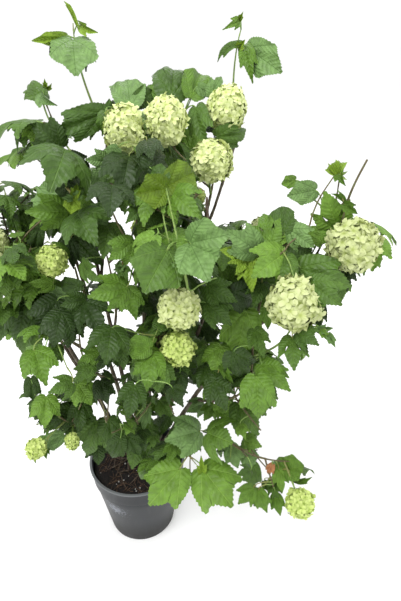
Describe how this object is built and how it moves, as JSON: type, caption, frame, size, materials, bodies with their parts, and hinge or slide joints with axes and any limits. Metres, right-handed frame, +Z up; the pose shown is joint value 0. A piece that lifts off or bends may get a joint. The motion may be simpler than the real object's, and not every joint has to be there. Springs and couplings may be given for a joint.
{
  "type": "snowball viburnum in a pot",
  "caption": "Potted snowball viburnum: an open shrub of thin leaning stems with three-lobed leaves in opposite pairs and round heads of blossom, in a plain round nursery pot.",
  "frame": {"origin": "centre of the flat underside of the pot", "axes": "+Z up, -Y to the front, the side that the plant leans to and is mostly seen from, +X to the right of a person who faces it"},
  "size_m": [0.7365, 0.6262, 1.1371],
  "materials": {
    "pot_plastic": "satin grey nursery pot",
    "compost": "crumbly, matt",
    "bark": "matt",
    "foliage": "soft sheen"
  },
  "bodies": {
    "root": {"pot": "pot_plastic", "soil": "compost", "stem_left": "bark", "stem_left_inner": "bark", "stem_centre": "bark", "stem_centre_right": "bark", "stem_right": "bark", "stem_low_right": "bark", "stem_back": "bark", "stem_back_left": "bark", "stem_back_right": "bark", "bough_left_edge": "bark", "bough_tall_left": "bark", "bough_top_centre": "bark", "bough_tall_right": "bark", "bough_centre_front": "bark", "bough_front_low": "bark", "bough_mid_left": "bark", "bough_inner_left": "bark", "bough_far_right": "bark", "bough_right_low": "bark", "bough_lower_left": "bark", "bough_lower_centre": "bark", "bough_foot": "bark", "bough_back_low": "bark", "bough_back_left_low": "bark", "bough_back_right_low": "bark", "tall_left_shoot": "foliage", "tall_right_shoot": "foliage", "upper_left": "foliage", "upper_bloom": "foliage", "top_centre": "foliage", "upper_right": "foliage", "left_front": "foliage", "left_edge": "foliage", "centre_front": "foliage", "mid_left": "foliage", "inner_left": "foliage", "front_low": "foliage", "right": "foliage", "far_right": "foliage", "right_low": "foliage", "low_right": "foliage", "foot_front": "foliage", "lower_left": "foliage", "lower_centre": "foliage", "back_top": "foliage", "back_left": "foliage", "back_right": "foliage", "back_low": "foliage", "back_left_low": "foliage", "back_right_low": "foliage"}
  },
  "joints": []
}
